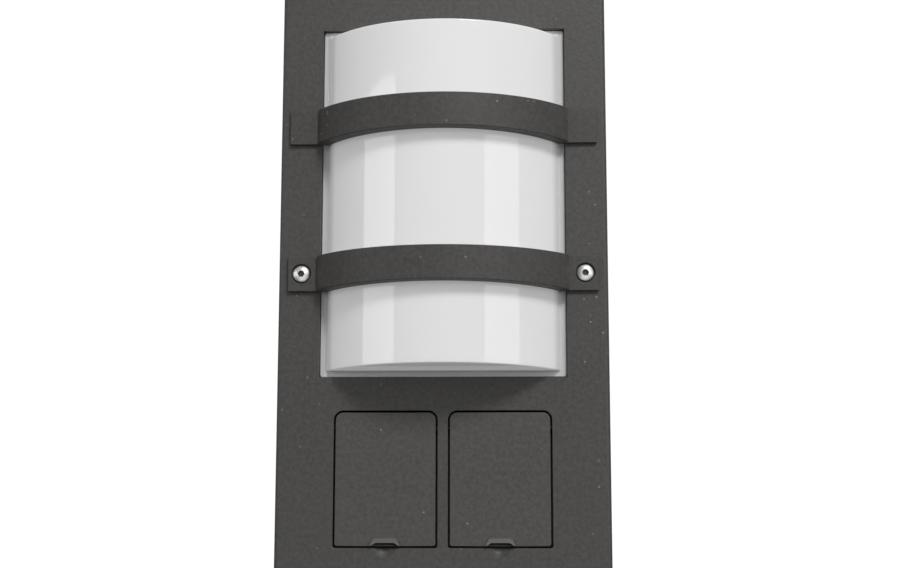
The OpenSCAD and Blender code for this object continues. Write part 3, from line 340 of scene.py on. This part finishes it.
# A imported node's form as clean faces, ready for its edges to be eased
def startFromNode(name):
    weld, flatAngle = cleaning["weld"]*mm, math.radians(cleaning["flatAngle"])
    bm = bmesh.new()
    bm.from_mesh(nodes[name].data)
    bmesh.ops.remove_doubles(bm, verts=bm.verts, dist=weld)
    if name not in cutPlaces:
        bmesh.ops.dissolve_limit(bm, angle_limit=flatAngle, verts=bm.verts, edges=bm.edges)
        return bm
    low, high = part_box(name)
    cuts = [(axis, (low[axis] + high[axis])/2 + place*mm)
            for axis, places in zip((0, 2), cutPlaces[name]) for place in places]
    for axis, place in cuts:
        direction = Vector((0, 0, 0))
        direction[axis] = 1
        bmesh.ops.bisect_plane(bm, geom=bm.verts[:] + bm.edges[:] + bm.faces[:], dist=weld,
                               plane_co=direction*place, plane_no=direction)
    if "strap" in name:
        bmesh.ops.remove_doubles(bm, verts=bm.verts, dist=cleaning["strapWeld"]*mm)

    def onCut(edge):
        return any(all(abs(v.co[axis] - place) < cleaning["onCut"]*mm for v in edge.verts)
                   for axis, place in cuts)

    flat = [edge for edge in bm.edges if len(edge.link_faces) == 2
            and edge.calc_face_angle() < flatAngle and not onCut(edge)]
    bmesh.ops.dissolve_edges(bm, edges=flat, use_verts=True)
    return bm


# Rounds the wanted edges that are sharper than an angle in degrees, by a radius in millimetres
def easeEdges(bm, radius, wanted, segments=3, sharpest=40):
    chosen = [edge for edge in bm.edges if len(edge.link_faces) == 2
              and edge.calc_face_angle() > math.radians(sharpest) and wanted(edge)]
    bmesh.ops.bevel(bm, geom=chosen, offset=radius*mm, offset_type="OFFSET", segments=segments,
                    profile=0.5, affect="EDGES", clamp_overlap=False, material=-1)


# The foremost and the rearmost place of an edge
def spanY(edge):
    depths = [v.co.y for v in edge.verts]
    return min(depths), max(depths)


# Object at the origin, smooth over its eased edges and flat on its faces
def finishPiece(bm, name, node, creases=35):
    mesh = bpy.data.meshes.new(name)
    bm.to_mesh(mesh)
    bm.free()
    mesh.shade_smooth()
    mesh.set_sharp_from_angle(angle=math.radians(creases))
    mesh.materials.append(finishes[slotOf[node]])
    piece = bpy.data.objects.new(name, mesh)
    bpy.context.scene.collection.objects.link(piece)
    normals = piece.modifiers.new("normals", "WEIGHTED_NORMAL")
    normals.keep_sharp = True
    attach(piece, bodyOf[node])
    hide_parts(node)


# Shells, covers, seals and inner parts: radius of the eased edges in millimetres
easedRadius = {"column": 0.35, "top_cap": 0.6, "base_plate": 0.8, "service_cover": 0.25,
               "cable_grommet": 0.5, "socket_carrier": 0.25, "left_socket_insert": 0.1,
               "right_socket_insert": 0.1, "left_lid_seal": 0.5, "right_lid_seal": 0.5,
               "service_cover_gasket": 0.12, "top_cap_gasket": 0.2, "base_screws": 0.12,
               "top_cap_screws": 0.12, "service_cover_screws": 0.15, "diffuser_gasket": 0.2,
               "earth_stud": 0.12, "lamp_bulb": 0.1, "lamp_cap": 0.1, "lamp_tray": 0.3,
               "lamp_tray_screws": 0.1, "lampholder": 0.4, "lampholder_bracket": 0.25,
               "lampholder_bracket_screws": 0.1, "lampholder_screws": 0.1, "lampholder_shell": 0.1,
               "left_earth_clips": 0.15, "right_earth_clips": 0.15, "left_hinge_pin": 0.15,
               "right_hinge_pin": 0.15, "left_socket_back": 0.25, "right_socket_back": 0.25,
               "left_socket_contacts": 0.12, "right_socket_contacts": 0.12,
               "socket_carrier_screws": 0.12, "socket_insert_screws": 0.1, "terminal_block": 0.3,
               "terminal_bracket": 0.25, "terminal_bracket_screws": 0.12, "tray_grommet": 0.25,
               "upper_strap_screws": 0.12}


def makeShells():
    for name, radius in easedRadius.items():
        bm = startFromNode(name)
        easeEdges(bm, radius, lambda edge: edge.is_convex)
        finishPiece(bm, name + "_eased", name)


makeShells()
print("shells, covers and seals eased")


# Diffuser: crisp moulded edges on the dome, and on the flange from its front to a little behind.
# The front's place is behind the column's front
diffuserForm = {"domeEdge": 0.8, "domeSegments": 4, "flangeEdge": 0.3, "flangeSegments": 2,
                "flangeSharpest": 60, "flangeFront": 2.9, "flangeReach": 0.2}


def makeDiffuser():
    bm = startFromNode("diffuser")
    flangeFront = faceY + diffuserForm["flangeFront"]*mm
    flangeBack = flangeFront + diffuserForm["flangeReach"]*mm

    def onDome(edge):
        return edge.is_convex and spanY(edge)[0] < flangeFront

    def onFlange(edge):
        front, back = spanY(edge)
        return edge.is_convex and front >= flangeFront and back < flangeBack

    easeEdges(bm, diffuserForm["domeEdge"], onDome, diffuserForm["domeSegments"])
    easeEdges(bm, diffuserForm["flangeEdge"], onFlange, diffuserForm["flangeSegments"],
              diffuserForm["flangeSharpest"])
    finishPiece(bm, "diffuser_opal", "diffuser")


makeDiffuser()
print("diffuser made")


# Straps: cast bars with soft edges, except where the bars meet their pads, between two distances
# from the middle
strapForm = {"edge": 0.45, "joint": (67.3, 68.7)}


def makeStrap(node):
    bm = startFromNode(node)
    inner, outer = (place*mm for place in strapForm["joint"])

    def onOutside(edge):
        front, back = spanY(edge)
        atJoint = all(inner < abs(v.co.x) < outer for v in edge.verts)
        return edge.is_convex and back < faceY + touching and front < faceY - touching \
            and not atJoint

    easeEdges(bm, strapForm["edge"], onOutside)
    finishPiece(bm, node + "_cast", node)


for strap in ("upper_strap", "lower_strap"):
    makeStrap(strap)
print("straps made")


# Lids: flat flaps whose outer edges and lips are rounded by the paint. The corners where the lip
# bends, given by height over the lid's foot and distance from the face, are drawn up and in
lidForm = {"edge": 0.45, "edgeSharpest": 60, "lipEdge": 0.3, "lipSharpest": 25, "lipStart": 0.3,
           "bend": (3.6, 1.44), "softBend": (4.2, 0.8), "pinch": 0.88}


def makeLid(node):
    bm = startFromNode(node)
    low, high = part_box(node)
    middle = (low.x + high.x)/2
    (bendUp, bendOut), (softUp, softOut) = lidForm["bend"], lidForm["softBend"]
    for v in bm.verts:
        if abs(v.co.z - low.z - bendUp*mm) < touching \
                and abs(v.co.y - faceY + bendOut*mm) < touching:
            v.co = (middle + (v.co.x - middle)*lidForm["pinch"], faceY - softOut*mm,
                    low.z + softUp*mm)

    def onRim(edge):
        return edge.is_convex and all(abs(v.co.y - faceY) < touching for v in edge.verts)

    def onLip(edge):
        return edge.is_convex and spanY(edge)[0] < faceY - lidForm["lipStart"]*mm

    easeEdges(bm, lidForm["lipEdge"], onLip, sharpest=lidForm["lipSharpest"])
    easeEdges(bm, lidForm["edge"], onRim, sharpest=lidForm["edgeSharpest"])
    finishPiece(bm, node + "_flap", node)


for lid in ("left_lid", "right_lid"):
    makeLid(lid)
print("lids made")


# Strap screws: domed stainless heads with a hexagon socket, whose floor is set deeper. Its reach
# is from the screw's axis, and its depths are in front of the column's face
strapScrewForm = {"edge": 0.15, "creases": 30, "socketReach": 3.6, "floor": 2.04,
                  "deepFloor": 1.75}


def makeStrapScrews():
    bm = startFromNode("lower_strap_screws")
    screwX = screwAcross["lower_strap"]*mm
    screwZ = sum(corner.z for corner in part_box("lower_strap_screws"))/2
    floorY = faceY - strapScrewForm["floor"]*mm
    for v in bm.verts:
        reach = math.hypot(abs(v.co.x) - screwX, v.co.z - screwZ)
        if reach < strapScrewForm["socketReach"]*mm and abs(v.co.y - floorY) < touching:
            v.co.y = faceY - strapScrewForm["deepFloor"]*mm
    easeEdges(bm, strapScrewForm["edge"],
              lambda edge: edge.is_convex and edge.verts[0].co.y < faceY)
    finishPiece(bm, "strap_screws", "lower_strap_screws", strapScrewForm["creases"])


makeStrapScrews()
print("strap screws made")


# Round wire or lead along a list of points
def makeTube(name, node, points, radius, roundness=5):
    data = bpy.data.curves.new(name, "CURVE")
    data.dimensions = "3D"
    data.bevel_depth = radius*mm
    data.bevel_resolution = roundness
    data.use_fill_caps = True
    line = data.splines.new("POLY")
    line.points.add(len(points) - 1)
    for spot, place in zip(line.points, points):
        spot.co = (*place, 1)
    data.materials.append(finishes[slotOf[node]])
    tube = bpy.data.objects.new(name, data)
    bpy.context.scene.collection.objects.link(tube)
    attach(tube, bodyOf[node])
    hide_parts(node)


# Closing springs: seven and a half turns on the hinge pin, with a leg to the lid and one to the
# carrier
springForm = {"wire": 0.25, "coil": 1.45, "pitch": 0.97, "turns": 7.5, "stepsPerTurn": 24,
              "lidLeg": 6, "carrierLeg": 4.4}


def makeSpring(side):
    low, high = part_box(side + "_hinge_pin")
    axis = (low + high)/2
    coil, half = springForm["coil"], springForm["pitch"]*springForm["turns"]/2
    steps = round(springForm["turns"]*springForm["stepsPerTurn"])
    route = [(-half, -coil, -springForm["lidLeg"])]
    for k in range(steps + 1):
        angle = math.pi - 2*math.pi*k/springForm["stepsPerTurn"]
        route.append((-half + 2*half*k/steps, coil*math.cos(angle), coil*math.sin(angle)))
    route.append((half, coil, -springForm["carrierLeg"]))
    places = [axis + Vector(point)*mm for point in route]
    makeTube(side + "_spring_wire", side + "_lid_spring", places, springForm["wire"])


for side in ("left", "right"):
    makeSpring(side)
print("springs wound")


# A route of straight runs with round bends between them
def bentRoute(corners, bend, steps=10):
    route = [corners[0]]
    for before, corner, after in zip(corners, corners[1:], corners[2:]):
        inward, onward = (corner - before).normalized(), (after - corner).normalized()
        centre = corner - inward*bend*mm + onward*bend*mm
        for k in range(steps + 1):
            angle = math.pi/2*k/steps
            route.append(centre - onward*bend*mm*math.cos(angle)
                         + inward*bend*mm*math.sin(angle))
    return route + [corners[-1]]


# Leads inside the column: radius of the jacket and of its bends
leadForm = {"lamp_lead": (2.5, 12), "socket_lead": (3.2, 16), "socket_link_lead": (2.5, 8)}


# From the terminal block up the back wall, through the tray's grommet and up to the lampholder
def makeLampLead():
    radius, bend = leadForm["lamp_lead"]
    low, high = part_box("lamp_lead")
    grommetLow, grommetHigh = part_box("tray_grommet")
    middle, runZ = (low.x + high.x)/2, (grommetLow.z + grommetHigh.z)/2
    back, front = high.y - radius*mm, low.y + radius*mm
    corners = [Vector((middle, back, low.z)), Vector((middle, back, runZ)),
               Vector((middle, front, runZ)), Vector((middle, front, high.z))]
    makeTube("lamp_lead_jacket", "lamp_lead", bentRoute(corners, bend), radius)


# From the terminal block up the back wall and forward to the outlets
def makeSocketLead():
    radius, bend = leadForm["socket_lead"]
    low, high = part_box("socket_lead")
    middle, back, top = (low.x + high.x)/2, high.y - radius*mm, high.z - radius*mm
    corners = [Vector((middle, back, low.z)), Vector((middle, back, top)),
               Vector((middle, low.y, top))]
    makeTube("socket_lead_jacket", "socket_lead", bentRoute(corners, bend), radius)


# From one outlet to the other
def makeLinkLead():
    radius, bend = leadForm["socket_link_lead"]
    low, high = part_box("socket_link_lead")
    level, back = (low.z + high.z)/2, high.y - radius*mm
    left, right = low.x + radius*mm, high.x - radius*mm
    corners = [Vector((left, low.y, level)), Vector((left, back, level)),
               Vector((right, back, level)), Vector((right, low.y, level))]
    makeTube("socket_link_jacket", "socket_link_lead", bentRoute(corners, bend), radius)


makeLampLead()
makeSocketLead()
makeLinkLead()
print("leads laid")


# Floor and a plain white backdrop all round, which neither light the object nor show in its
# gloss. Lengths are in metres
stageForm = {"floorHalf": 10, "floorPattern": (40, 3), "floorTones": (0.78, 0.82),
             "floorGlow": 0.5, "floorRoughness": 0.8, "backdropRadius": 9, "backdropDetail": 4,
             "backdropGlow": 1.04}


def finishStage(bm, name, material):
    mesh = bpy.data.meshes.new(name)
    bm.to_mesh(mesh)
    bm.free()
    mesh.materials.append(material)
    piece = bpy.data.objects.new(name, mesh)
    piece.visible_diffuse = False
    piece.visible_glossy = False
    bpy.context.scene.collection.objects.link(piece)
    return piece


def makeFloor():
    material, tree, shader, coords = startMaterial("floorPaper")
    tone = mixColours(tree, addNoise(tree, coords, stageForm["floorPattern"]),
                      *((level, level, level) for level in stageForm["floorTones"]))
    tree.links.new(tone, shader.inputs["Base Color"])
    tree.links.new(tone, shader.inputs["Emission Color"])
    shader.inputs["Emission Strength"].default_value = stageForm["floorGlow"]
    shader.inputs["Roughness"].default_value = stageForm["floorRoughness"]
    bm = bmesh.new()
    bmesh.ops.create_grid(bm, x_segments=1, y_segments=1, size=stageForm["floorHalf"])
    finishStage(bm, "floor", material)


def makeBackdrop():
    material = bpy.data.materials.new("backdropPaper")
    material.use_nodes = True
    tree = material.node_tree
    tree.nodes.clear()
    output = tree.nodes.new("ShaderNodeOutputMaterial")
    glow = tree.nodes.new("ShaderNodeEmission")
    glow.inputs["Strength"].default_value = stageForm["backdropGlow"]
    tree.links.new(glow.outputs["Emission"], output.inputs["Surface"])
    bm = bmesh.new()
    bmesh.ops.create_icosphere(bm, subdivisions=stageForm["backdropDetail"],
                               radius=stageForm["backdropRadius"])
    backdrop = finishStage(bm, "backdrop", material)
    backdrop.visible_transmission = False
    backdrop.visible_volume_scatter = False
    backdrop.visible_shadow = False


# Light from all round: its place, from the front at 0 to the back at 1, and its strength. Only a
# share of it comes from below the horizon
worldLight = {"front": (0, 0.47), "slant": (0.2, 0.17), "side": (0.6, 0.16), "back": (0.86, 1.04)}
belowShare = 0.14
horizon = (-0.05, 0.05)


def makeWorld():
    world = bpy.data.worlds.new("studio")
    world.use_nodes = True
    tree = world.node_tree
    coords = tree.nodes.new("ShaderNodeTexCoord")
    split = tree.nodes.new("ShaderNodeSeparateXYZ")
    tree.links.new(coords.outputs["Generated"], split.inputs["Vector"])
    depth = addRamp(tree, split.outputs["Y"], (-1, 1))
    height = addRamp(tree, split.outputs["Z"], horizon, belowShare, 1)
    glow = tree.nodes.new("ShaderNodeValToRGB")
    steps = glow.color_ramp.elements
    for step, key in ((steps[0], "front"), (steps[1], "back")):
        step.position, strength = worldLight[key]
        step.color = (strength, strength, strength, 1)
    for key in ("slant", "side"):
        place, strength = worldLight[key]
        steps.new(place).color = (strength, strength, strength, 1)
    tree.links.new(depth, glow.inputs["Fac"])
    background = tree.nodes["Background"]
    tree.links.new(glow.outputs["Color"], background.inputs["Color"])
    tree.links.new(height, background.inputs["Strength"])
    bpy.context.scene.world = world


# Area lamps: place, the point that it is aimed at, width and height, and glow in watts a
# steradian and square metre. The low card shows in gloss alone
lampForm = {"leftBox": ((-0.786, -0.544, 0.945), (-0.084, 0.168, 0.945), (0.5, 0.47), 1.85),
            "rightBox": ((0.708, -0.632, 0.85), (-0.067, 0.0, 0.85), (0.52, 0.6), 1.42),
            "keyBox": ((0.62, -1.5, 2.1), (0, faceY, 0.8), (0.55, 0.5), 22),
            "lowCard": ((0, -1.0, 0.2), (0, faceY, 0.82), (1.4, 0.7), 1.15)}


def addLamp(name):
    place, target, size, glow = lampForm[name]
    data = bpy.data.lights.new(name, "AREA")
    data.shape = "RECTANGLE"
    data.size, data.size_y = size
    data.energy = glow*math.pi*size[0]*size[1]
    lamp = bpy.data.objects.new(name, data)
    lamp.location = place
    aim = Vector(target) - Vector(place)
    lamp.rotation_euler = aim.to_track_quat("-Z", "Y").to_euler()
    lamp.visible_diffuse = name != "lowCard"
    bpy.context.scene.collection.objects.link(lamp)


makeFloor()
makeBackdrop()
makeWorld()
for name in lampForm:
    addLamp(name)
bpy.context.scene.view_settings.view_transform = "Standard"
print("studio set")
